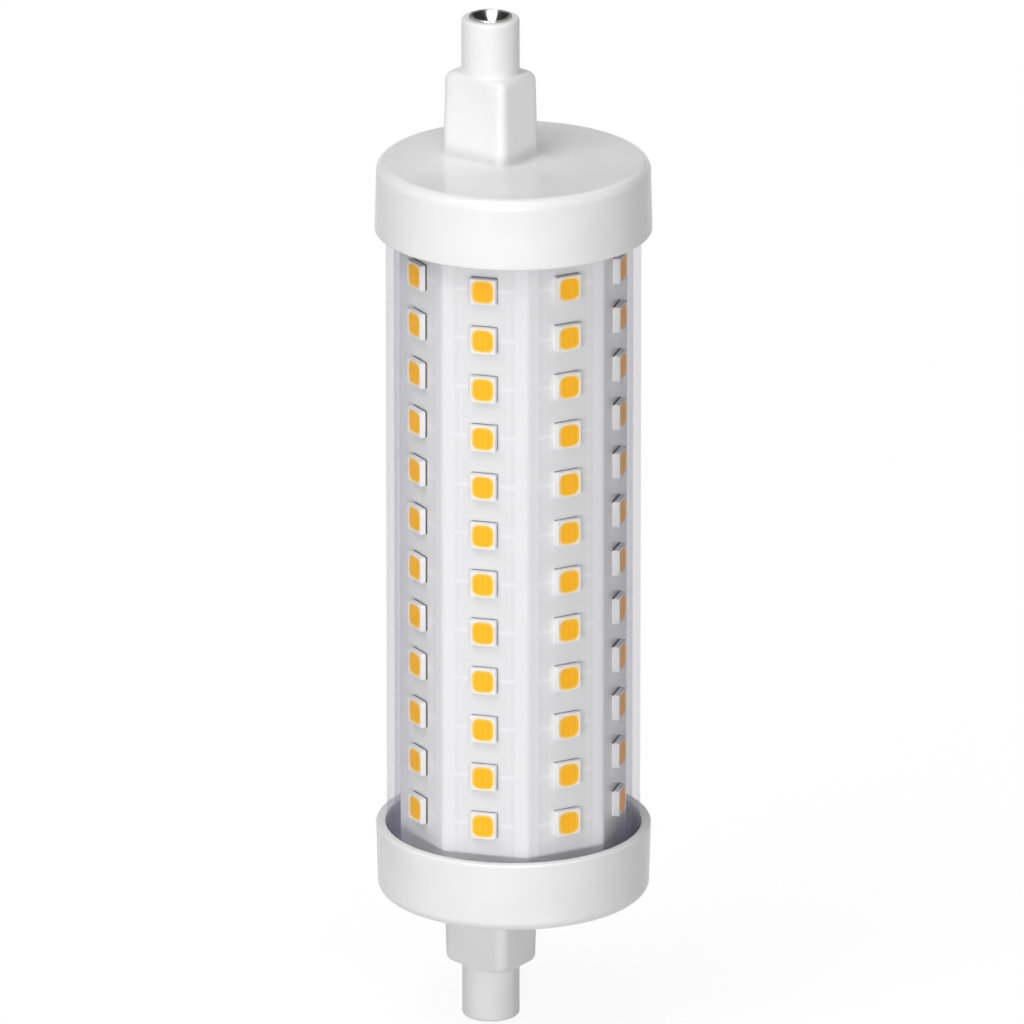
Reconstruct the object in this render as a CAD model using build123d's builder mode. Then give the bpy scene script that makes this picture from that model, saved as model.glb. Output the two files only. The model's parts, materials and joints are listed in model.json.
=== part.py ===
from build123d import *
from math import cos, hypot, pi, radians, sin, tan
import os

# A double-ended linear LED bulb, in millimetres and degrees.
# It stands along +Z, with the origin on the cover tube's axis at mid length.
# The posts at both ends sit off that axis, towards -X.

# Length over the two contact rims, and the steps of each end
overall_length = 118.0
contact_stand = 0.5
nose_length = 6.0
post_height = 9.65
cap_height = 8.0
cap_floor = 1.8

# End cap cup
cap_wall = 1.1
cap_draft = 1.3
cap_edge = 0.7

# Post: a drafted block that carries the round nose
post_offset = 3.25
post_width = 9.0
post_depth = 7.1
post_draft = 1.6
post_corner = 1.0
post_wall = 1.4
shoulder_wall = 2.0
nose_diameter = 6.5
nose_edge = 0.55

# Contact: a turned rivet with a conical dish, and a bore in its shank for the lead
contact_diameter = 4.8
shank_diameter = 4.2
shank_length = 3.5
shank_fit = 0.05
dish_mouth = 4.3
dish_bottom = 1.3
dish_depth = 1.8

# Leads from the contacts to the driver board
lead_diameter = 1.4
lead_bore_depth = 1.5
lead_fit = 0.05
lead_lap = 7.0

# LED board: one sheet folded to eight flats, with a seam at one bend
board_sides = 8
board_apothem = 11.85
board_thickness = 0.9
bend_radius = 1.0
board_seam = 0.3
seam_angle = 135.0
board_end_play = 0.1

# LED packages on each flat
led_rows = 12
led_pitch = 5.7
led_width = 3.0
led_height = 3.0
led_thickness = 0.85
window_width = 2.55
window_height = 2.65
window_depth = 0.45
phosphor_recess = 0.05

# Cover tube
cover_clearance = 0.55
cover_wall = 0.9
cover_fit = 0.1

# Locating ring and board guides inside each cap
ring_wall = 1.2
ring_height = 2.5
ring_fit = 0.1
guide_wall = 1.0
guide_grip = 2.0
guide_height = 4.0
guide_fit = 0.1
guide_clearance = 0.5

# Driver board and the room kept free at its ends
driver_thickness = 1.0
driver_margin = 1.0

# Parts on the driver board
fuse_diameter = 3.0
fuse_length = 7.0
fuse_lead = 0.6
fuse_lead_reach = 1.5
fuse_stand = 0.4
film_width = 4.0
film_length = 7.3
film_height = 7.0
choke_diameter = 8.0
choke_height = 8.0
choke_flange = 1.2
choke_post = 4.0
winding_diameter = 7.0
smoothing_diameter = 8.0
smoothing_height = 8.5
smoothing_edge = 0.4
feed_diameter = 1.2
feed_spread = 2.0
bridge_width = 3.9
bridge_length = 4.7
bridge_height = 1.6
bridge_pin_pitch = 2.5
chip_width = 3.9
chip_length = 4.9
chip_height = 1.45
chip_pin_pitch = 1.27
diode_width = 4.3
diode_length = 2.6
diode_height = 2.1
chip_resistor_width = 3.2
chip_resistor_length = 1.6
chip_resistor_height = 0.6
chip_resistor_pitch = 2.2

# Bent pins of the flat packages
package_stand = 0.1
package_edge = 0.2
pin_width = 0.4
pin_thickness = 0.2
pin_reach = 0.4
pin_foot = 0.6

# Heights of the upper end's steps, and the places that follow from them
contact_rim_z = overall_length / 2
nose_end_z = contact_rim_z - contact_stand
shoulder_z = nose_end_z - nose_length
cap_face_z = shoulder_z - post_height
cap_rim_z = cap_face_z - cap_height
floor_z = cap_face_z - cap_floor
board_end_z = floor_z - board_end_play
shank_end_z = nose_end_z - shank_length
lead_end_z = shank_end_z + lead_bore_depth

# Radii from the LED board outwards
half_facet = pi / board_sides
corner_reach = (board_apothem - bend_radius) / cos(half_facet) + bend_radius
led_reach = hypot(board_apothem + led_thickness, led_width / 2)
cover_inner_radius = max(corner_reach, led_reach) + cover_clearance
cover_radius = cover_inner_radius + cover_wall
cup_radius = cover_radius + cover_fit
rim_radius = cup_radius + cap_wall
face_radius = rim_radius - cap_height * tan(radians(cap_draft))

# Places inside the LED board
inner_apothem = board_apothem - board_thickness
ring_apothem = inner_apothem - ring_fit
driver_back_x = -post_offset + lead_diameter / 2 + lead_fit
driver_front_x = driver_back_x + driver_thickness
driver_middle_x = (driver_back_x + driver_front_x) / 2
guide_half_width = driver_thickness / 2 + guide_fit + guide_wall
guide_far_x = abs(driver_middle_x) + guide_half_width
guide_reach = inner_apothem / cos(half_facet) - guide_far_x * tan(half_facet) - guide_clearance
driver_half_width = guide_reach - guide_wall - guide_fit

post_axis = Axis((-post_offset, 0, 0), (0, 0, 1))
post_section = Plane(origin=(-post_offset, 0, 0), x_dir=(1, 0, 0), z_dir=(0, -1, 0))
component_face = Plane(origin=(driver_front_x, 0, 0), x_dir=(0, 1, 0), z_dir=(1, 0, 0))
solder_face = Plane(origin=(driver_back_x, 0, 0), x_dir=(0, -1, 0), z_dir=(-1, 0, 0))

os.makedirs("parts", exist_ok=True)


def write(piece, name):
    """Labels a finished piece and writes its STEP file."""
    piece.part.label = name
    export_step(piece.part, f"parts/{name}.step")


def seat_at(face, z):
    """The plane of one face of the driver board, with its origin at height z."""
    return Plane(origin=face.origin + Vector(0, 0, z), x_dir=face.x_dir, z_dir=face.z_dir)


def section_of(seat):
    """The plane through a seat in which its normal points up the sketch."""
    return Plane(origin=seat.origin, x_dir=seat.x_dir, z_dir=-seat.y_dir)


def facet_plane(column):
    """The outer face of one flat of the LED board, with its sketch's Y along the lamp."""
    angle = (2 * column + 1) * half_facet
    outward = Vector(cos(angle), sin(angle), 0)
    return Plane(origin=outward * board_apothem, x_dir=(-sin(angle), cos(angle), 0), z_dir=outward)


def spread(lengths, half_span):
    """Centres of parts laid in a row from +half_span to -half_span with equal gaps."""
    gap = (2 * half_span - sum(lengths)) / (len(lengths) + 1)
    centres = []
    edge = half_span
    for length in lengths:
        centres.append(edge - gap - length / 2)
        edge -= gap + length
    return centres


# End cap: cup, post and nose outside, with the lead's channel and the guides inside
with BuildPart() as upper_end_cap:
    with BuildSketch(Plane.XZ) as cup_section:
        with BuildLine():
            Polyline(
                (0, cap_face_z),
                (face_radius, cap_face_z),
                (rim_radius, cap_rim_z),
                (cup_radius, cap_rim_z),
                (cup_radius, floor_z),
                (0, floor_z),
                close=True,
            )
        make_face()
        face_corner = cup_section.vertices().sort_by_distance((face_radius, cap_face_z))[0]
        chamfer(face_corner, cap_edge)
    revolve(axis=Axis.Z)

    with BuildSketch(Plane.XY.offset(cap_face_z)):
        with Locations((-post_offset, 0)):
            Rectangle(post_width, post_depth)
    extrude(amount=post_height, taper=post_draft)
    upright_edges = upper_end_cap.edges(Select.LAST).group_by(Axis.Z)[1]
    fillet(upright_edges, post_corner)

    with BuildSketch(Plane.XY.offset(shoulder_z)):
        with Locations((-post_offset, 0)):
            Circle(nose_diameter / 2)
    extrude(amount=nose_length)
    chamfer(upper_end_cap.edges().group_by(Axis.Z)[-1], nose_edge)

    with BuildSketch(Plane.XY.offset(floor_z)):
        with Locations((-post_offset, 0)):
            Rectangle(post_width - 2 * post_wall, post_depth - 2 * post_wall)
    extrude(amount=cap_floor + post_height - shoulder_wall, taper=post_draft, mode=Mode.SUBTRACT)
    with BuildSketch(Plane.XY.offset(nose_end_z)):
        with Locations((-post_offset, 0)):
            Circle(shank_diameter / 2 + shank_fit)
    extrude(amount=-nose_length - shoulder_wall, mode=Mode.SUBTRACT)

    with BuildSketch(Plane.XY.offset(floor_z)):
        RegularPolygon(ring_apothem, board_sides, major_radius=False)
        RegularPolygon(ring_apothem - ring_wall, board_sides, major_radius=False, mode=Mode.SUBTRACT)
    extrude(amount=-ring_height)
    with BuildSketch(Plane.XY.offset(floor_z)):
        with Locations((driver_middle_x, 0)):
            Rectangle(2 * guide_half_width, 2 * guide_reach)
            Rectangle(2 * guide_half_width, 2 * (driver_half_width - guide_grip), mode=Mode.SUBTRACT)
            Rectangle(
                driver_thickness + 2 * guide_fit,
                2 * (driver_half_width + guide_fit),
                mode=Mode.SUBTRACT,
            )
    extrude(amount=-guide_height)
write(upper_end_cap, "upper_end_cap")

with BuildPart() as lower_end_cap:
    mirror(upper_end_cap.part, about=Plane.XY)
write(lower_end_cap, "lower_end_cap")

# Contact: flange on the nose, dish in its face, shank in the bore
with BuildPart() as upper_contact:
    with BuildSketch(post_section):
        with BuildLine():
            Polyline(
                (0, contact_rim_z - dish_depth),
                (dish_bottom / 2, contact_rim_z - dish_depth),
                (dish_mouth / 2, contact_rim_z),
                (contact_diameter / 2, contact_rim_z),
                (contact_diameter / 2, nose_end_z),
                (shank_diameter / 2, nose_end_z),
                (shank_diameter / 2, shank_end_z),
                (lead_diameter / 2 + lead_fit, shank_end_z),
                (lead_diameter / 2 + lead_fit, lead_end_z),
                (0, lead_end_z),
                close=True,
            )
        make_face()
    revolve(axis=post_axis)
write(upper_contact, "upper_contact")

with BuildPart() as lower_contact:
    mirror(upper_contact.part, about=Plane.XY)
write(lower_contact, "lower_contact")

# Lead: from the bottom of the contact's bore down along the driver board
with BuildPart() as upper_lead_wire:
    with BuildSketch(Plane.XY.offset(board_end_z - lead_lap)):
        with Locations((-post_offset, 0)):
            Circle(lead_diameter / 2)
    extrude(amount=lead_end_z - board_end_z + lead_lap)
write(upper_lead_wire, "upper_lead_wire")

with BuildPart() as lower_lead_wire:
    mirror(upper_lead_wire.part, about=Plane.XY)
write(lower_lead_wire, "lower_lead_wire")

# Cover tube, from cap floor to cap floor
with BuildPart() as cover_tube:
    with BuildSketch(Plane.XY.offset(-floor_z)):
        Circle(cover_radius)
        Circle(cover_inner_radius, mode=Mode.SUBTRACT)
    extrude(amount=2 * floor_z)
write(cover_tube, "cover_tube")

# LED board: a sheet of even thickness, bent round at its eight corners
with BuildPart() as led_board:
    with BuildSketch(Plane.XY.offset(-board_end_z)) as board_outline:
        RegularPolygon(board_apothem, board_sides, major_radius=False)
        fillet(board_outline.vertices(), bend_radius)
        offset(amount=-board_thickness, mode=Mode.SUBTRACT)
        with PolarLocations(board_apothem, 1, seam_angle):
            Rectangle(2 * board_thickness + 2 * bend_radius, board_seam, mode=Mode.SUBTRACT)
    extrude(amount=2 * board_end_z)
write(led_board, "led_board")

# LEDs: a column of packages on each flat, and the resin in their windows
for column in range(board_sides):
    facet = facet_plane(column)
    with BuildPart() as led_housings:
        with BuildSketch(facet):
            with GridLocations(led_pitch, led_pitch, 1, led_rows):
                Rectangle(led_width, led_height)
        extrude(amount=led_thickness)
        with BuildSketch(facet.offset(led_thickness)):
            with GridLocations(led_pitch, led_pitch, 1, led_rows):
                Rectangle(window_width, window_height)
        extrude(amount=-window_depth, mode=Mode.SUBTRACT)
    write(led_housings, f"led_housings_{column + 1}")

    with BuildPart() as led_phosphors:
        with BuildSketch(facet.offset(led_thickness - window_depth)):
            with GridLocations(led_pitch, led_pitch, 1, led_rows):
                Rectangle(window_width, window_height)
        extrude(amount=window_depth - phosphor_recess)
    write(led_phosphors, f"led_phosphors_{column + 1}")

# Driver board, standing in the guides of both caps
with BuildPart() as driver_board:
    with BuildSketch(solder_face):
        Rectangle(2 * driver_half_width, 2 * board_end_z)
    extrude(amount=-driver_thickness)
write(driver_board, "driver_board")

# Tall parts and the two feed wires share the front face, flat packages the back
fuse_span = fuse_length + 2 * fuse_lead_reach + fuse_lead
front_lengths = [fuse_span, film_length, choke_diameter, smoothing_diameter, feed_diameter]
front_places = spread(front_lengths, floor_z - guide_height - driver_margin)
fuse_z, film_z, choke_z, smoothing_z, feed_z = front_places
sense_span = chip_resistor_pitch + chip_resistor_length
back_lengths = [bridge_length, chip_length, diode_length, sense_span]
back_places = spread(back_lengths, board_end_z - lead_lap - driver_margin)
bridge_z, chip_z, diode_z, sense_z = back_places

# Fusible resistor: a barrel on a staple of square lead
with BuildPart() as fusible_resistor:
    fuse_axis_x = driver_front_x + fuse_stand + fuse_diameter / 2
    fuse_leg = fuse_length / 2 + fuse_lead_reach
    with BuildLine() as staple:
        Polyline(
            (driver_front_x, 0, fuse_z - fuse_leg),
            (fuse_axis_x, 0, fuse_z - fuse_leg),
            (fuse_axis_x, 0, fuse_z + fuse_leg),
            (driver_front_x, 0, fuse_z + fuse_leg),
        )
    with BuildSketch(seat_at(component_face, fuse_z - fuse_leg)):
        Rectangle(fuse_lead, fuse_lead)
    sweep(path=staple.line, transition=Transition.RIGHT)
    with BuildSketch(Plane.XY.offset(fuse_z - fuse_length / 2)):
        with Locations((fuse_axis_x, 0)):
            Circle(fuse_diameter / 2)
    extrude(amount=fuse_length)
write(fusible_resistor, "fusible_resistor")

# Film capacitor: a plain moulded box
with BuildPart() as film_capacitor:
    with BuildSketch(seat_at(component_face, film_z)):
        Rectangle(film_width, film_length)
    extrude(amount=film_height)
write(film_capacitor, "film_capacitor")

# Choke: a drum of ferrite with its winding between the flanges
choke_seat = seat_at(component_face, choke_z)
with BuildPart() as choke_core:
    with BuildSketch(section_of(choke_seat)):
        with BuildLine():
            Polyline(
                (0, 0),
                (choke_diameter / 2, 0),
                (choke_diameter / 2, choke_flange),
                (choke_post / 2, choke_flange),
                (choke_post / 2, choke_height - choke_flange),
                (choke_diameter / 2, choke_height - choke_flange),
                (choke_diameter / 2, choke_height),
                (0, choke_height),
                close=True,
            )
        make_face()
    revolve(axis=Axis(choke_seat.origin, choke_seat.z_dir))
write(choke_core, "choke_core")

with BuildPart() as choke_winding:
    with BuildSketch(choke_seat.offset(choke_flange)):
        Circle(winding_diameter / 2)
        Circle(choke_post / 2, mode=Mode.SUBTRACT)
    extrude(amount=choke_height - 2 * choke_flange)
write(choke_winding, "choke_winding")

# Smoothing capacitor: a can with a turned-in top edge
smoothing_seat = seat_at(component_face, smoothing_z)
with BuildPart() as smoothing_capacitor:
    with BuildSketch(section_of(smoothing_seat)) as can_section:
        with BuildLine():
            Polyline(
                (0, 0),
                (smoothing_diameter / 2, 0),
                (smoothing_diameter / 2, smoothing_height),
                (0, smoothing_height),
                close=True,
            )
        make_face()
        can_corner = can_section.vertices().sort_by_distance((smoothing_diameter / 2, smoothing_height))[0]
        chamfer(can_corner, smoothing_edge)
    revolve(axis=Axis(smoothing_seat.origin, smoothing_seat.z_dir))
write(smoothing_capacitor, "smoothing_capacitor")


def flat_package(name, seat, width, length, height, pin_rows, pin_pitch):
    """A moulded package on the solder face with bent pins along its two long sides."""
    with BuildPart() as package:
        with BuildSketch(seat.offset(package_stand)):
            Rectangle(width, length)
        extrude(amount=height - package_stand)
        chamfer(package.edges().group_by(Axis.X)[0], package_edge)
        pin_top = (package_stand + height) / 2
        pin_bend = width / 2 + pin_reach
        pin_tip = pin_bend + pin_foot
        for row in range(pin_rows):
            shift = (row - (pin_rows - 1) / 2) * pin_pitch
            with BuildSketch(section_of(seat).offset(-shift)):
                with BuildLine():
                    Polyline(
                        (width / 2, pin_top),
                        (pin_bend, pin_top),
                        (pin_bend, pin_thickness),
                        (pin_tip, pin_thickness),
                        (pin_tip, 0),
                        (pin_bend - pin_thickness, 0),
                        (pin_bend - pin_thickness, pin_top - pin_thickness),
                        (width / 2, pin_top - pin_thickness),
                        close=True,
                    )
                make_face()
                mirror(about=Plane.YZ)
            extrude(amount=pin_width / 2, both=True)
    write(package, name)


flat_package(
    "bridge_rectifier",
    seat_at(solder_face, bridge_z),
    bridge_width,
    bridge_length,
    bridge_height,
    2,
    bridge_pin_pitch,
)
flat_package("driver_chip", seat_at(solder_face, chip_z), chip_width, chip_length, chip_height, 4, chip_pin_pitch)

# Freewheel diode: a block with a tapered top
with BuildPart() as freewheel_diode:
    with BuildSketch(seat_at(solder_face, diode_z)):
        Rectangle(diode_width, diode_length)
    extrude(amount=diode_height)
    chamfer(freewheel_diode.edges().group_by(Axis.X)[0], package_edge)
write(freewheel_diode, "freewheel_diode")

# Sense resistors: two chips side by side
with BuildPart() as sense_resistors:
    with BuildSketch(seat_at(solder_face, sense_z)):
        with GridLocations(chip_resistor_pitch, chip_resistor_pitch, 1, 2):
            Rectangle(chip_resistor_width, chip_resistor_length)
    extrude(amount=chip_resistor_height)
write(sense_resistors, "sense_resistors")

# Feed wires: from the driver board's front face, square on to two flats of the LED board
for name, column, side in (("positive_feed_wire", 0, 1), ("negative_feed_wire", board_sides - 1, -1)):
    inner_flat = facet_plane(column).offset(-board_thickness)
    with BuildPart() as feed_wire:
        with BuildSketch(inner_flat):
            with Locations((side * feed_spread, feed_z)):
                Circle(feed_diameter / 2)
        extrude(amount=-2 * inner_apothem)
        split(bisect_by=component_face)
    write(feed_wire, name)
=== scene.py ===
import json
import math

import bmesh
import bpy
from mathutils import Matrix, Vector


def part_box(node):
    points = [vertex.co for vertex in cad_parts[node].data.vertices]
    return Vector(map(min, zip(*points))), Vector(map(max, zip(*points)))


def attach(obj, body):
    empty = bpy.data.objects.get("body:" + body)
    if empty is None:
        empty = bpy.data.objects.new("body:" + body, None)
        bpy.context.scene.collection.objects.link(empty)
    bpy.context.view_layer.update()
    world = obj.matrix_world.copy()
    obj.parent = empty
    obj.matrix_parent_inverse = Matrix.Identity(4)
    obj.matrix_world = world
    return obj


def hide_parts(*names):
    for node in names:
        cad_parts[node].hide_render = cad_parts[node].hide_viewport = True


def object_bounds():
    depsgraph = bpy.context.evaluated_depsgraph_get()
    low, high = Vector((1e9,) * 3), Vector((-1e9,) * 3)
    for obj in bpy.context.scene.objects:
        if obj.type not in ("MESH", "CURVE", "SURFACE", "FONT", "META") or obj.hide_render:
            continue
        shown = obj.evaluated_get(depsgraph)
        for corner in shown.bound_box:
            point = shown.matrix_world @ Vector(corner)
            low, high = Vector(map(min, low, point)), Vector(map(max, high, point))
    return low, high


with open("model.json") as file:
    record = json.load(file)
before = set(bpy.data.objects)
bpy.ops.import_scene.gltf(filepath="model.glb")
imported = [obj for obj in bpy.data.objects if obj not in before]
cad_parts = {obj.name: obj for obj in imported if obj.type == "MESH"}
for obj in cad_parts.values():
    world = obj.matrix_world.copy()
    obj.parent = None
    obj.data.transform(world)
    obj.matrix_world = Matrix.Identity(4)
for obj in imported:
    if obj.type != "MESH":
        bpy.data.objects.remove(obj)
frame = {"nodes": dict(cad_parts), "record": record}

cad_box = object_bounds()

# A double-ended linear LED bulb, dressed in metres in the frame of its solids.
mm = 0.001

# Places read from the frame
cap_low, cap_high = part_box("upper_end_cap")
contact_low, contact_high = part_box("upper_contact")
rim_z = cap_low.z
rim_radius = cap_high.x
nose_end_z = cap_high.z
contact_rim_z = contact_high.z
contact_radius = contact_high.y
post_x = (contact_low.x + contact_high.x) / 2

# End cap: cup, drafted post and round nose
cap_height = 8.0 * mm
cap_floor = 1.8 * mm
cap_wall = 1.1 * mm
cap_draft = math.radians(1.3)
cap_edge_radius = 1.1 * mm
rim_round = 0.22 * mm
post_width = 9.0 * mm
post_depth = 7.1 * mm
post_corner = 1.2 * mm
post_corner_least = 0.96 * mm
post_draft = math.radians(1.6)
post_foot_radius = 0.7 * mm
nose_length = 6.0 * mm
nose_radius = 3.25 * mm
nose_edge_radius = 0.38 * mm
nose_collar = 0.27 * mm
collar_gap = 0.03 * mm
nose_foot_rise = 0.55 * mm
shoulder_drop = 0.95 * mm
shoulder_share = 0.55
bore_radius = 2.15 * mm

# Contact: lip, conical dish and shank
lip_radius = 0.11 * mm
lip_fall = 0.8
dish_mouth_radius = 2.15 * mm
dish_bottom_radius = 0.5 * mm
dish_depth = 1.8 * mm
dish_curve = 1.15
shank_radius = 2.1 * mm
shank_length = 3.5 * mm

# LED board and its packages
flats = 8
flat_distance = 11.85 * mm
led_rows = 12
led_pitch = 5.7 * mm
led_width = 3.0 * mm
led_height = 3.0 * mm
led_thickness = 0.85 * mm
led_corner = 0.12 * mm
led_bevel = 0.06 * mm
window_width = 2.5 * mm
window_height = 2.6 * mm
window_corner = 0.72 * mm
window_flare = 0.06 * mm
resin_recess = 0.05 * mm
resin_depth = 0.14 * mm

# Points in a ring of the caps and contacts, and steps in each rounded edge
ring_count = 144
rim_steps = 4
edge_steps = 10
foot_steps = 6
shoulder_steps = 8
nose_steps = 8
lip_steps = 5
dish_steps = 6
pad_steps = 3

# Rings this many radii from a rounded edge hold its shading to the edge
rim_hold = 2.0
edge_hold = 1.3
foot_hold = 1.4

# Faces that meet at more than these angles, in degrees, keep a sharp edge
sharp_turn = 32
sharp_led_turn = 25

# Corners of a solid's triangles that lie closer than this are joined
weld_gap = 0.001 * mm

# Camera, as read from the photograph
view_azimuth = math.radians(38.2)
view_elevation = math.radians(18.9)
view_distance = 2.0
view_lens = 630.0
sight_right = -0.17 * mm
sight_up = 1.47 * mm

# Stage: a floor, in metres, with the strength and share of its white glow, and a dim surround
floor_half_width = 4.0
floor_glow = 1.2
floor_glow_share = 0.75
dim_level = 0.04

# Sines of the elevations between which the white surround fades out in glossy surfaces
horizon_low = 0.08
horizon_high = 0.28

# Studio lights, in metres: the sides of a square panel and of a strip that stands low
panel = (0.8, 0.8)
strip_height = 0.095


class Wire:
    """A socket of a node tree; arithmetic on it adds Math nodes."""

    def __init__(self, owner, socket):
        self.owner = owner
        self.socket = socket

    def math(self, operation, *others):
        values = dict(enumerate((self, *others)))
        return self.owner.node("ShaderNodeMath", {"operation": operation}, values)

    def __add__(self, other):
        return self.math("ADD", other)

    def __sub__(self, other):
        return self.math("SUBTRACT", other)

    def __rsub__(self, other):
        return self.owner.node("ShaderNodeMath", {"operation": "SUBTRACT"}, {0: other, 1: self})

    def __mul__(self, other):
        return self.math("MULTIPLY", other)

    def __truediv__(self, other):
        return self.math("DIVIDE", other)

    __radd__ = __add__
    __rmul__ = __mul__

    def __abs__(self):
        return self.math("ABSOLUTE")

    def larger(self, other):
        return self.math("MAXIMUM", other)

    def step(self, low, high, rise="SMOOTHSTEP"):
        """0 below low, 1 above high, and a rise between."""
        values = {"Value": self, "From Min": low, "From Max": high}
        return self.owner.node("ShaderNodeMapRange", {"interpolation_type": rise}, values)

    def between(self, first, second):
        """A colour that goes from the first to the second as this goes from 0 to 1."""
        # A Mix node's colour sockets come after those for numbers and vectors
        values = {0: self, 6: first, 7: second}
        return self.owner.node("ShaderNodeMix", {"data_type": "RGBA"}, values, output=2)


class Nodes:
    """A node tree, and the way that nodes are added to it."""

    def __init__(self, tree):
        self.tree = tree

    def node(self, kind, settings=None, values=None, output=0):
        """Adds one node, sets it up, fills or links its sockets and returns an output or a list."""
        made = self.tree.nodes.new(kind)
        for label, value in (settings or {}).items():
            setattr(made, label, value)
        for label, value in (values or {}).items():
            self.feed(made.inputs[label], value)
        if isinstance(output, list):
            return [Wire(self, made.outputs[label]) for label in output]
        return Wire(self, made.outputs[output])

    def feed(self, socket, value):
        if isinstance(value, Wire):
            self.tree.links.new(value.socket, socket)
        else:
            socket.default_value = value

    def place(self, coordinate="Object"):
        """Coordinates as a vector."""
        return self.node("ShaderNodeTexCoord", output=coordinate)

    def axes(self, coordinate="Object"):
        """Coordinates as three numbers."""
        values = {"Vector": self.place(coordinate)}
        return self.node("ShaderNodeSeparateXYZ", values=values, output=["X", "Y", "Z"])

    def rays(self):
        """1 for camera rays, for mirrored rays and for rays through glass, as three numbers."""
        kinds = ["Is Camera Ray", "Is Glossy Ray", "Is Transmission Ray"]
        return self.node("ShaderNodeLightPath", output=kinds)


class Finish(Nodes):
    """A material: a Principled shader and the nodes that feed it."""

    def __init__(self, name, **constants):
        """A constant is named for its socket: specular_ior_level sets Specular IOR Level."""
        self.material = bpy.data.materials.new(name)
        self.material.use_nodes = True
        super().__init__(self.material.node_tree)
        self.shader = self.tree.nodes["Principled BSDF"]
        for label, value in constants.items():
            self.give(label.replace("_", " ").title().replace("Ior", "IOR"), value)

    def give(self, label, value):
        self.feed(self.shader.inputs[label], value)

    def noise(self, size, detail=2.0):
        """Even noise from 0 to 1 with grains of about the given size."""
        values = {"Vector": self.place(), "Scale": 1 / size, "Detail": detail}
        return self.node("ShaderNodeTexNoise", values=values)

    def bump(self, height, distance):
        self.give("Normal", self.node("ShaderNodeBump", values={"Height": height, "Distance": distance}))

    def flat_axes(self):
        """Where a point lies at its flat: across it, up from the nearest LED row, out from the board."""
        x, y, z = self.axes()
        turn = 2 * math.pi / flats
        angle = y.math("ARCTAN2", x)
        from_middle = angle - ((angle / turn).math("FLOOR") + 0.5) * turn
        radius = (x * x + y * y).math("SQRT")
        row = z / led_pitch + (1.0 if led_rows % 2 == 0 else 0.5)
        across = radius * from_middle.math("SINE")
        up = (row - row.math("FLOOR") - 0.5) * led_pitch
        return across, up, radius * from_middle.math("COSINE") - flat_distance


def tone(red, green, blue):
    return (red, green, blue, 1.0)


def cap_plastic():
    """Glossy white moulding, faintly uneven in tone and gloss."""
    finish = Finish("cap_white", specular_ior_level=0.4)
    cloud = finish.noise(6 * mm)
    white = cloud.step(0.3, 0.7).between(tone(0.85, 0.85, 0.85), tone(0.88, 0.88, 0.878))
    finish.give("Base Color", white)
    finish.give("Roughness", 0.2 + 0.06 * cloud)
    finish.bump(finish.noise(0.25 * mm, detail=1.0), 0.002 * mm)
    return finish.material


def contact_plate():
    """Bright plate with fine turning marks round the contact's middle."""
    mark_pitch = 0.09 * mm
    finish = Finish("contact_metal", metallic=1.0)
    x, y, _ = finish.axes()
    offset = x - post_x
    radius = (offset * offset + y * y).math("SQRT")
    marks = (radius * (2 * math.pi / mark_pitch)).math("SINE")
    cloud = finish.noise(0.8 * mm)
    finish.give("Base Color", cloud.between(tone(0.50, 0.50, 0.50), tone(0.62, 0.615, 0.60)))
    finish.give("Roughness", 0.16 + 0.08 * cloud)
    finish.bump(marks, 0.001 * mm)
    return finish.material


def clear_cover():
    """Clear plastic with a faint cold tint at its edges, and milky where it sits in the caps, a paleness
    that is partly painted light in the shaded cups.
    """
    seat_start = rim_z + 0.1 * mm
    seat_full = rim_z + 1.2 * mm
    finish = Finish("cover_clear", roughness=0.06, ior=1.49, specular_ior_level=0.08)
    facing = finish.node("ShaderNodeLayerWeight", values={"Blend": 0.5}, output="Facing")
    seat = abs(finish.axes()[2]).step(seat_start, seat_full)
    haze = finish.noise(9 * mm)
    clear = haze.between(tone(0.38, 0.37, 0.56), tone(0.44, 0.43, 0.62))
    # The seat is partly a milky seated end and partly painted light: its pale colour brightens the shade
    # inside the cups
    finish.give("Base Color", seat.between(clear, tone(0.74, 0.73, 0.80)))
    edge = 0.2 * facing.step(0.40, 0.66) + 0.1 * facing.step(0.72, 0.92)
    finish.give("Alpha", (0.01 + edge + 0.004 * haze).larger(0.5 * seat))
    return finish.material


def board_mask():
    """White mask over copper, a little paler where the copper is cut away."""
    fold_start, fold_full = 3.35 * mm, 3.6 * mm
    cut_half, cut_end = 0.16 * mm, 0.30 * mm
    cut_start = led_width / 2
    cut_full = cut_start + 0.1 * mm
    slit_side = 2.75 * mm
    slit_half, slit_end = 0.06 * mm, 0.16 * mm
    finish = Finish("board_white", specular_ior_level=0.35)
    across, up, _ = finish.flat_axes()
    side = abs(across)
    fold = side.step(fold_start, fold_full)
    cut = (1 - abs(up).step(cut_half, cut_end)) * side.step(cut_start, cut_full)
    slit = 1 - abs(side - slit_side).step(slit_half, slit_end)
    bare = fold.larger(cut).larger(0.5 * slit)
    cloud = finish.noise(3 * mm)
    copper = cloud.between(tone(0.82, 0.82, 0.823), tone(0.84, 0.84, 0.84))
    finish.give("Base Color", bare.between(copper, tone(0.885, 0.885, 0.89)))
    finish.give("Roughness", 0.2 + 0.08 * cloud)
    finish.bump(1 - bare, 0.008 * mm)
    return finish.material


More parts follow.
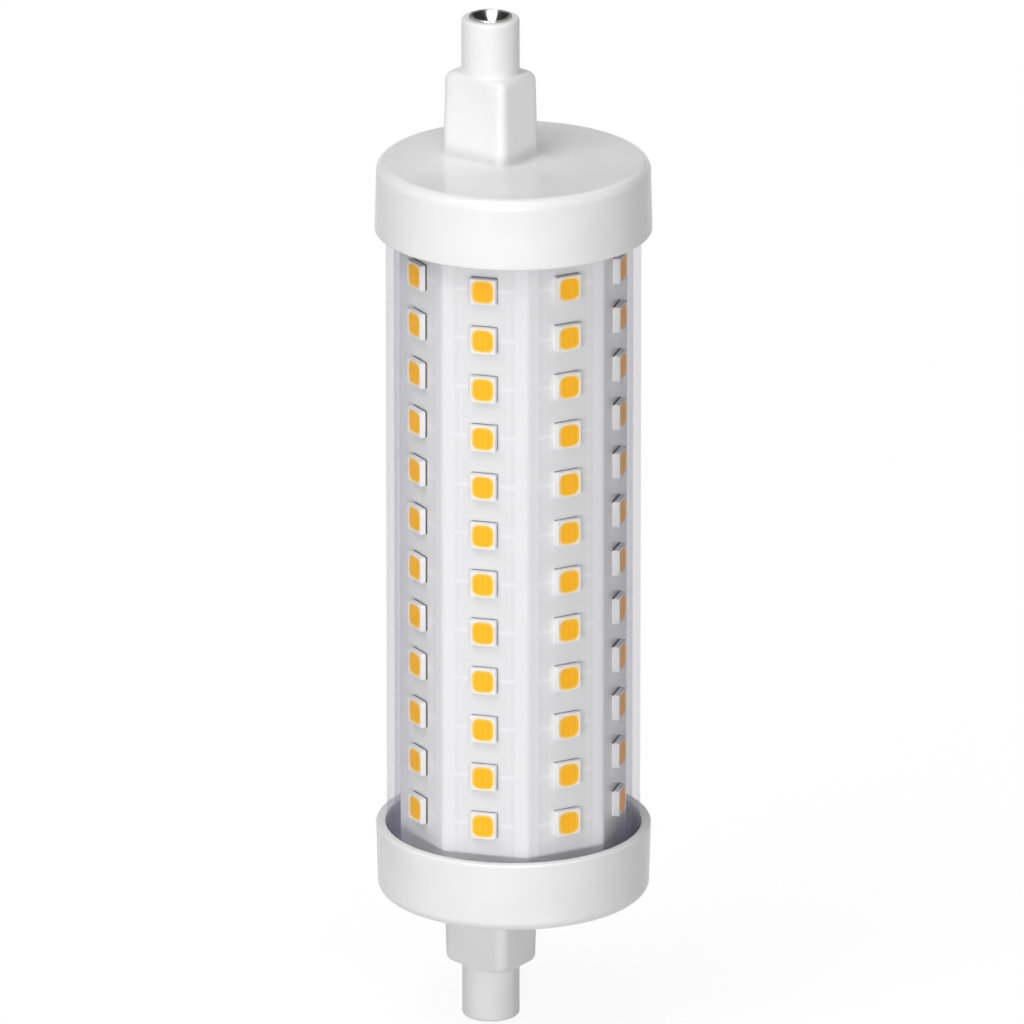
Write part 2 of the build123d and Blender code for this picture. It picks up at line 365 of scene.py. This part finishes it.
def package_plastic():
    """White package with painted shadow along the foot of its upper and right-hand walls."""
    wall_depth, wall_margin = 0.10 * mm, 0.04 * mm
    shadow_height, shadow_end = 0.16 * mm, 0.26 * mm
    finish = Finish("led_white", specular_ior_level=0.15)
    across, up, out = finish.flat_axes()
    right_wall = across.step(led_width / 2 - wall_depth, led_width / 2 - wall_margin)
    upper_wall = up.step(led_height / 2 - wall_depth, led_height / 2 - wall_margin)
    # Painted shadow: only the upper and right-hand walls are darkened at their foot by the board, where
    # shade falls
    foot = right_wall.larger(upper_wall) * (1 - out.step(shadow_height, shadow_end))
    cloud = finish.noise(0.6 * mm)
    white = cloud.between(tone(0.89, 0.89, 0.885), tone(0.93, 0.93, 0.93))
    finish.give("Base Color", foot.between(white, tone(0.10, 0.095, 0.085)))
    finish.give("Roughness", 0.4 + 0.1 * cloud)
    return finish.material


def phosphor_resin():
    """Yellow resin with a pale edge and the faint bars of the chips under it, and a faint painted glow
    from emission.
    """
    roundness = 3.4
    bar_pitch = 0.62 * mm
    # Painted glow: the unlit resin is given a faint emission of its own
    finish = Finish("phosphor_yellow", specular_ior_level=0.02, emission_strength=0.17)
    across, up, _ = finish.flat_axes()
    wide = (abs(across) / (window_width / 2)).math("POWER", roundness)
    high = (abs(up) / (window_height / 2)).math("POWER", roundness)
    edge = (wide + high).math("POWER", 1 / roundness)
    wave = (across * (2 * math.pi / bar_pitch)).math("COSINE")
    bars = wave.step(0.2, 0.9) * (1 - edge.step(0.55, 0.8))
    resin = bars.between(tone(0.94, 0.55, 0.022), tone(0.94, 0.50, 0.015))
    # Colour of the painted glow, deepest orange in the middle of the window
    glow = edge.step(0.8, 1.0).between(tone(1.0, 0.16, 0.0), tone(0.8, 0.30, 0.05))
    finish.give("Base Color", edge.step(0.84, 1.02).between(resin, tone(0.90, 0.72, 0.36)))
    finish.give("Emission Color", glow)
    finish.give("Roughness", 0.5 + 0.1 * finish.noise(0.3 * mm))
    return finish.material


def driver_mask():
    """Green solder mask over a woven board."""
    finish = Finish("driver_green", roughness=0.4)
    weave = finish.noise(0.4 * mm)
    finish.give("Base Color", weave.between(tone(0.045, 0.22, 0.10), tone(0.07, 0.29, 0.15)))
    return finish.material


def moulded(name, dark, pale, size, roughness):
    """A plain inner finish: two close tones in even noise, with a fine skin."""
    finish = Finish(name)
    cloud = finish.noise(size)
    finish.give("Base Color", cloud.between(tone(*dark), tone(*pale)))
    finish.give("Roughness", roughness + 0.1 * cloud)
    finish.bump(cloud, 0.01 * mm)
    return finish.material


def wound_copper():
    """Copper wire in turns along X, with painted shade between the turns and a painted highlight on
    their crowns.
    """
    wire_pitch = 0.3 * mm
    finish = Finish("copper", metallic=1.0, roughness=0.3)
    turns = (finish.axes()[0] * (2 * math.pi / wire_pitch)).math("SINE")
    # Painted shade and highlight: the colour darkens in the grooves and brightens on the crowns of the
    # turns
    copper = turns.step(-1.0, 1.0).between(tone(0.45, 0.20, 0.09), tone(0.78, 0.42, 0.22))
    finish.give("Base Color", copper)
    finish.bump(turns, 0.05 * mm)
    return finish.material


def brushed_can():
    """Bare metal of a drawn can, uneven in gloss."""
    finish = Finish("can_metal", metallic=1.0)
    brush = finish.noise(0.5 * mm)
    finish.give("Base Color", brush.between(tone(0.64, 0.65, 0.66), tone(0.74, 0.75, 0.76)))
    finish.give("Roughness", 0.25 + 0.15 * brush)
    return finish.material


finishes = {
    "cap_white": cap_plastic(),
    "contact_metal": contact_plate(),
    "cover_clear": clear_cover(),
    "board_white": board_mask(),
    "led_white": package_plastic(),
    "phosphor_yellow": phosphor_resin(),
    "driver_green": driver_mask(),
    "black_mould": moulded("black_mould", (0.03, 0.03, 0.03), (0.05, 0.05, 0.05), 0.3 * mm, 0.5),
    "resistor_blue": moulded("resistor_blue", (0.13, 0.28, 0.42), (0.18, 0.35, 0.48), 0.8 * mm, 0.4),
    "film_box": moulded("film_box", (0.56, 0.08, 0.06), (0.66, 0.12, 0.09), 1.2 * mm, 0.3),
    "ferrite": moulded("ferrite", (0.06, 0.06, 0.07), (0.10, 0.10, 0.11), 0.4 * mm, 0.6),
    "copper": wound_copper(),
    "can_metal": brushed_can(),
    "chip_ceramic": moulded("chip_ceramic", (0.08, 0.08, 0.09), (0.12, 0.12, 0.13), 0.4 * mm, 0.5),
    "lead_white": moulded("lead_white", (0.80, 0.80, 0.79), (0.87, 0.87, 0.86), 1.0 * mm, 0.5),
    "feed_red": moulded("feed_red", (0.55, 0.04, 0.04), (0.66, 0.06, 0.06), 1.0 * mm, 0.45),
    "feed_black": moulded("feed_black", (0.03, 0.03, 0.03), (0.06, 0.06, 0.06), 1.0 * mm, 0.45),
}


def keep_piece(name, mesh, slot, nodes):
    """Makes a mesh into a piece of the lamp that stands for CAD nodes."""
    piece = bpy.data.objects.new(name, mesh)
    bpy.context.collection.objects.link(piece)
    mesh.materials.clear()
    mesh.materials.append(finishes[slot])
    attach(piece, "root")
    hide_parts(*nodes)


def shaded(shell, name, sharp_degrees):
    """A mesh with smooth faces, and with sharp edges where they turn by more than the angle."""
    limit = math.radians(sharp_degrees)
    for face in shell.faces:
        face.smooth = True
    for edge in shell.edges:
        edge.smooth = len(edge.link_faces) == 2 and edge.calc_face_angle() < limit
    mesh = bpy.data.meshes.new(name)
    shell.to_mesh(mesh)
    shell.free()
    return mesh


def smooth_copy(node):
    """A copy of a CAD node with its triangles joined and its round faces smooth."""
    shell = bmesh.new()
    shell.from_mesh(frame["nodes"][node].data)
    bmesh.ops.remove_doubles(shell, verts=shell.verts, dist=weld_gap)
    return shaded(shell, node + "_skin", sharp_turn)


def loft(rings, name, sharp_degrees=sharp_turn):
    """A closed mesh through rings of equal count, shut by a face at each end."""
    shell = bmesh.new()
    rows = [[shell.verts.new(point) for point in loop] for loop in rings]
    for row, above in zip(rows, rows[1:]):
        for i in range(len(row)):
            shell.faces.new((row[i - 1], row[i], above[i], above[i - 1]))
    shell.faces.new(rows[0])
    shell.faces.new(rows[-1])
    bmesh.ops.recalc_face_normals(shell, faces=shell.faces)
    return shaded(shell, name, sharp_degrees)


def reach(angle, half_x, half_y, corner):
    """Distance from the middle of a rounded rectangle to its outline, at an angle."""
    across, along = abs(math.cos(angle)), abs(math.sin(angle))
    flat_x, flat_y = half_x - corner, half_y - corner
    if half_x * along <= flat_y * across:
        return half_x / across
    if half_y * across <= flat_x * along:
        return half_y / along
    ahead = across * flat_x + along * flat_y
    return ahead + math.sqrt(ahead * ahead - flat_x * flat_x - flat_y * flat_y + corner * corner)


def ring(shape, middle_x, z):
    """Points round an outline, shape being its two half widths and corner radius."""
    points = []
    for i in range(ring_count):
        angle = 2 * math.pi * i / ring_count
        radius = reach(angle, *shape)
        points.append(Vector((middle_x + radius * math.cos(angle), radius * math.sin(angle), z)))
    return points


def circle(radius, z, middle_x=0.0):
    return ring((radius, radius, radius), middle_x, z)


def post_circle(radius, z):
    return circle(radius, z, post_x)


def quarter(steps):
    """Cosine and sine pairs from 0 to 90 degrees."""
    angles = [math.pi / 2 * i / steps for i in range(steps + 1)]
    return [(math.cos(angle), math.sin(angle)) for angle in angles]


def cup_rings(face_z):
    """The cap's cup, from its floor round the rim and up to the edge of its face."""
    cup_radius = rim_radius - cap_wall
    edge_radius = rim_radius - cap_height * math.tan(cap_draft)
    hold_z = rim_z + rim_hold * rim_round

    rings = [circle(cup_radius, face_z - cap_floor), circle(cup_radius, hold_z)]
    for c, s in quarter(rim_steps):
        rings.append(circle(cup_radius + rim_round * (1 - c), rim_z + rim_round * (1 - s)))
    for c, s in quarter(rim_steps):
        rings.append(circle(rim_radius - rim_round * (1 - s), rim_z + rim_round * (1 - c)))
    rings.append(circle(rim_radius - rim_hold * rim_round * math.tan(cap_draft), hold_z))

    rings.append(circle(edge_radius, face_z - edge_hold * cap_edge_radius))
    for c, s in quarter(edge_steps):
        radius = edge_radius - cap_edge_radius * (1 - c)
        rings.append(circle(radius, face_z - cap_edge_radius * (1 - s)))
    rings.append(circle(edge_radius - edge_hold * cap_edge_radius, face_z))
    return rings


def post_rings(face_z, shoulder_z):
    """The cap's post, from its foot on the cap's face to where its shoulder has run into the nose."""

    def post(grow, z):
        """The post's outline at a height, grown outwards and drawn in by the draft."""
        grow -= (z - face_z) * math.tan(post_draft)
        corner = max(post_corner + grow, post_corner_least)
        return ring((post_width / 2 + grow, post_depth / 2 + grow, corner), post_x, z)

    rings = [post(foot_hold * post_foot_radius, face_z)]
    for c, s in quarter(foot_steps):
        rings.append(post(post_foot_radius * (1 - s), face_z + post_foot_radius * (1 - c)))
    rings.append(post(0, face_z + foot_hold * post_foot_radius))
    rings.append(post(0, shoulder_z - edge_hold * shoulder_drop))

    block = post(0, shoulder_z - shoulder_drop)
    nose = post_circle(nose_radius, shoulder_z)

    def shoulder(share, z):
        """Between the block's outline and the nose's, at a height."""
        flat = [outer.lerp(inner, share) for outer, inner in zip(block, nose)]
        return [Vector((point.x, point.y, z)) for point in flat]

    for c, s in quarter(shoulder_steps):
        rings.append(shoulder(shoulder_share * (1 - c), shoulder_z - shoulder_drop * (1 - s)))
    for c, s in quarter(shoulder_steps)[1:]:
        share = shoulder_share + (1 - shoulder_share) * s
        rings.append(shoulder(share, shoulder_z + nose_foot_rise * (1 - c)))
    return rings


def nose_rings(shoulder_z):
    """The cap's nose, up to the collar round the contact and down into its bore."""
    collar_z = nose_end_z + nose_collar
    collar_radius = contact_radius + collar_gap
    rings = [
        post_circle(nose_radius, shoulder_z + foot_hold * nose_foot_rise),
        post_circle(nose_radius, collar_z - foot_hold * nose_edge_radius),
    ]
    for c, s in quarter(nose_steps):
        radius = nose_radius - nose_edge_radius * (1 - c)
        rings.append(post_circle(radius, collar_z - nose_edge_radius * (1 - s)))
    rings.append(post_circle(collar_radius, collar_z))
    rings.append(post_circle(collar_radius, nose_end_z))
    rings.append(post_circle(bore_radius, nose_end_z))
    rings.append(post_circle(bore_radius, shoulder_z))
    return rings


def cap_rings():
    """The upper end cap, from the floor of its cup, round the rim and up to the nose."""
    face_z = rim_z + cap_height
    shoulder_z = nose_end_z - nose_length
    return cup_rings(face_z) + post_rings(face_z, shoulder_z) + nose_rings(shoulder_z)


def contact_rings():
    """The upper contact, from its shank up over the lip and down into the dish."""
    lip_z = contact_rim_z - lip_radius
    rings = [
        post_circle(shank_radius, nose_end_z - shank_length),
        post_circle(shank_radius, nose_end_z),
        post_circle(contact_radius, nose_end_z),
    ]
    for c, s in quarter(lip_steps):
        rings.append(post_circle(contact_radius - lip_radius * (1 - c), lip_z + lip_radius * s))
    for c, s in quarter(lip_steps):
        radius = dish_mouth_radius + lip_fall * lip_radius * (1 - s)
        rings.append(post_circle(radius, lip_z + lip_radius * c))
    for i in range(1, dish_steps + 1):
        share = i / dish_steps
        radius = dish_mouth_radius + (dish_bottom_radius - dish_mouth_radius) * share
        rings.append(post_circle(radius, lip_z - (dish_depth - lip_radius) * share ** dish_curve))
    return rings


def at_end(rings, side):
    """The upper end's rings where side is 1, and their mirror image at the lower end where it is -1."""
    return [[Vector((point.x, point.y, side * point.z)) for point in loop] for loop in rings]


for end, side in (("upper", 1), ("lower", -1)):
    cap = loft(at_end(cap_rings(), side), end + "_cap_moulding")
    keep_piece(end + "_cap_moulding", cap, "cap_white", [end + "_end_cap"])
    cup = loft(at_end(contact_rings(), side), end + "_contact_cup")
    keep_piece(end + "_contact_cup", cup, "contact_metal", [end + "_contact"])

keep_piece("clear_cover", smooth_copy("cover_tube"), "cover_clear", ["cover_tube"])
keep_piece("folded_board", smooth_copy("led_board"), "board_white", ["led_board"])


def pad(half_y, half_z, corner, x):
    """A small rounded rectangle that faces +X, with few points."""
    points = []
    for side_y, side_z in ((1, 1), (-1, 1), (-1, -1), (1, -1)):
        corner_points = []
        for c, s in quarter(pad_steps):
            y = side_y * (half_y - corner * (1 - c))
            z = side_z * (half_z - corner * (1 - s))
            corner_points.append(Vector((x, y, z)))
        points += corner_points if side_y == side_z else reversed(corner_points)
    return points


def package_unit():
    """One LED package with its window, standing on the flat at x = 0."""
    half_y, half_z = led_width / 2, led_height / 2
    mouth_y, mouth_z = window_width / 2, window_height / 2
    flare_y, flare_z = mouth_y + window_flare, mouth_z + window_flare
    rings = [
        pad(half_y, half_z, led_corner, 0),
        pad(half_y, half_z, led_corner, led_thickness - led_bevel),
        pad(half_y - led_bevel, half_z - led_bevel, led_corner, led_thickness),
        pad(flare_y, flare_z, window_corner + window_flare, led_thickness),
        pad(mouth_y, mouth_z, window_corner, led_thickness - resin_depth),
    ]
    return loft(rings, "package", sharp_led_turn)


def resin_unit():
    """The resin in one package's window."""
    mouth_y, mouth_z = window_width / 2, window_height / 2
    spill = window_flare * (1 - resin_recess / resin_depth)
    rings = [
        pad(mouth_y, mouth_z, window_corner, led_thickness - resin_depth),
        pad(mouth_y + spill, mouth_z + spill, window_corner + spill, led_thickness - resin_recess),
    ]
    return loft(rings, "resin", sharp_led_turn)


def column_tree():
    """Geometry nodes that repeat a unit up a line and turn the line to face its flat."""
    tree = bpy.data.node_groups.new("led_column", "GeometryNodeTree")
    inputs = {
        "Unit": "NodeSocketGeometry",
        "Rows": "NodeSocketInt",
        "Pitch": "NodeSocketFloat",
        "Flat Distance": "NodeSocketFloat",
        "Flat Angle": "NodeSocketFloat",
        "Finish": "NodeSocketMaterial",
    }
    for label, kind in inputs.items():
        tree.interface.new_socket(label, in_out="INPUT", socket_type=kind)
    tree.interface.new_socket("Column", in_out="OUTPUT", socket_type="NodeSocketGeometry")

    nodes = Nodes(tree)
    given = dict(zip(inputs, nodes.node("NodeGroupInput", output=list(inputs))))
    foot = (given["Rows"] - 1) * given["Pitch"] * -0.5
    start = nodes.node("ShaderNodeCombineXYZ", values={"X": given["Flat Distance"], "Z": foot})
    stride = nodes.node("ShaderNodeCombineXYZ", values={"Z": given["Pitch"]})
    places = {"Count": given["Rows"], "Start Location": start, "Offset": stride}
    line = nodes.node("GeometryNodeMeshLine", {"mode": "OFFSET"}, places)
    unit = {"Points": line, "Instance": given["Unit"]}
    units = nodes.node("GeometryNodeInstanceOnPoints", values=unit)
    turn = nodes.node("ShaderNodeCombineXYZ", values={"Z": given["Flat Angle"]})
    turned = nodes.node("GeometryNodeTransform", values={"Geometry": units, "Rotation": turn})
    solid = nodes.node("GeometryNodeRealizeInstances", values={"Geometry": turned})
    finish = {"Geometry": solid, "Material": given["Finish"]}
    column = nodes.node("GeometryNodeSetMaterial", values=finish)
    nodes.node("NodeGroupOutput", values={"Column": column}, output=[])
    return tree


led_column = column_tree()


def stand_column(unit, name, slot, column):
    """Repeats a unit on one flat and keeps the result as a plain mesh."""
    host = bpy.data.objects.new(name + "_unit", unit)
    bpy.context.collection.objects.link(host)
    modifier = host.modifiers.new("column", "NODES")
    modifier.node_group = led_column
    sizes = {
        "Rows": led_rows,
        "Pitch": led_pitch,
        "Flat Distance": flat_distance,
        "Flat Angle": (2 * column + 1) * math.pi / flats,
        "Finish": finishes[slot],
    }
    for socket in led_column.interface.items_tree:
        if socket.name in sizes:
            modifier[socket.identifier] = sizes[socket.name]
    graph = bpy.context.evaluated_depsgraph_get()
    mesh = bpy.data.meshes.new_from_object(host.evaluated_get(graph))
    bpy.data.objects.remove(host)
    return mesh


units = (("housings", package_unit(), "led_white"), ("phosphors", resin_unit(), "phosphor_yellow"))
for column in range(flats):
    place = str(column + 1)
    for label, unit, slot in units:
        name = "led_" + label + "_column_" + place
        mesh = stand_column(unit, name, slot, column)
        keep_piece(name, mesh, slot, ["led_" + label + "_" + place])

# The driver and the wires keep their solids and take a finish from their slot
for subpart in frame["record"]["subparts"]:
    node = frame["nodes"][subpart["node"]]
    for slot in node.material_slots:
        slot.material = finishes[subpart["material_slot"]]


def stage_floor():
    """A floor that is white to the camera and keeps the lamp's shadow."""
    finish = Finish("floor_white", roughness=0.9, specular_ior_level=0.0)
    paint = finish.noise(0.4).between(tone(0.50, 0.50, 0.50), tone(0.52, 0.52, 0.52))
    finish.give("Base Color", paint)
    camera, mirrored, through = finish.rays()
    seen = camera.larger(mirrored).larger(through)
    glow = finish.node("ShaderNodeEmission", values={"Strength": floor_glow})
    lit = Wire(finish, finish.shader.outputs[0])
    look = finish.node("ShaderNodeMixShader", values={0: seen * floor_glow_share, 1: lit, 2: glow})
    finish.feed(finish.tree.nodes["Material Output"].inputs["Surface"], look)

    shell = bmesh.new()
    bmesh.ops.create_grid(shell, x_segments=1, y_segments=1, size=floor_half_width)
    bmesh.ops.translate(shell, verts=shell.verts, vec=(0, 0, cad_box[0].z))
    mesh = bpy.data.meshes.new("floor")
    shell.to_mesh(mesh)
    shell.free()
    mesh.materials.append(finish.material)
    floor = bpy.data.objects.new("floor", mesh)
    bpy.context.collection.objects.link(floor)


def toward(azimuth, elevation):
    """Unit vector from the lamp to a place at an azimuth and elevation, in radians."""
    flat = math.cos(elevation)
    return Vector((math.sin(azimuth) * flat, -math.cos(azimuth) * flat, math.sin(elevation)))


def facing_back(direction):
    """The turn of a camera or light that stands in a direction and looks at the lamp."""
    return (-direction).to_track_quat("-Z", "Y").to_matrix()


def soft_light(name, azimuth, elevation, distance, size, power, mirrored=True):
    """A light at degrees from the camera's azimuth and up, in metres and watts."""
    light = bpy.data.lights.new(name, "AREA")
    light.shape = "RECTANGLE"
    light.size, light.size_y = size
    light.energy = power
    holder = bpy.data.objects.new(name, light)
    direction = toward(view_azimuth + math.radians(azimuth), math.radians(elevation))
    turn = facing_back(direction).to_4x4()
    holder.matrix_world = Matrix.Translation(direction * distance) @ turn
    holder.visible_glossy = mirrored
    bpy.context.collection.objects.link(holder)


def studio_world():
    """A dim surround, white to the camera, through glass and in mirrored rays low over the floor."""
    world = bpy.data.worlds.new("studio")
    world.use_nodes = True
    nodes = Nodes(world.node_tree)
    camera, mirrored, through = nodes.rays()
    low = 1 - nodes.axes("Generated")[2].step(horizon_low, horizon_high, "LINEAR")
    white = camera.larger(through).larger(mirrored * low)
    surround = nodes.tree.nodes["Background"]
    nodes.feed(surround.inputs["Color"], tone(1.0, 1.0, 1.0))
    nodes.feed(surround.inputs["Strength"], dim_level + (1 - dim_level) * white)
    bpy.context.scene.world = world


def main_camera():
    lens = bpy.data.cameras.new("camera")
    lens.lens = view_lens
    lens.sensor_width = 36.0
    lens.clip_start = 0.05
    lens.clip_end = 20.0
    camera = bpy.data.objects.new("camera", lens)
    back = toward(view_azimuth, view_elevation)
    turn = facing_back(back)
    sight = turn @ Vector((sight_right, sight_up, 0))
    camera.matrix_world = Matrix.Translation(sight + back * view_distance) @ turn.to_4x4()
    bpy.context.collection.objects.link(camera)
    bpy.context.scene.camera = camera


stage_floor()
soft_light("low_key", azimuth=-7, elevation=-0.4, distance=0.8, size=(0.8, strip_height), power=3.45)
soft_light("left_top", azimuth=-43, elevation=53, distance=1.5, size=panel, power=7.8)
soft_light("front", azimuth=15, elevation=32, distance=1.5, size=panel, power=3.2)
soft_light("overhead", azimuth=-20, elevation=80, distance=1.4, size=(0.9, 0.4), power=6.5)
soft_light("right_fill", azimuth=100, elevation=20, distance=1.6, size=panel, power=0.4)
soft_light("back", azimuth=180, elevation=46, distance=1.6, size=(1.0, 1.0), power=4.0)
soft_light("low_back", azimuth=180, elevation=-0.4, distance=0.8, size=(0.4, strip_height), power=3.4,
           mirrored=False)
studio_world()
main_camera()
bpy.context.scene.view_settings.view_transform = "Standard"
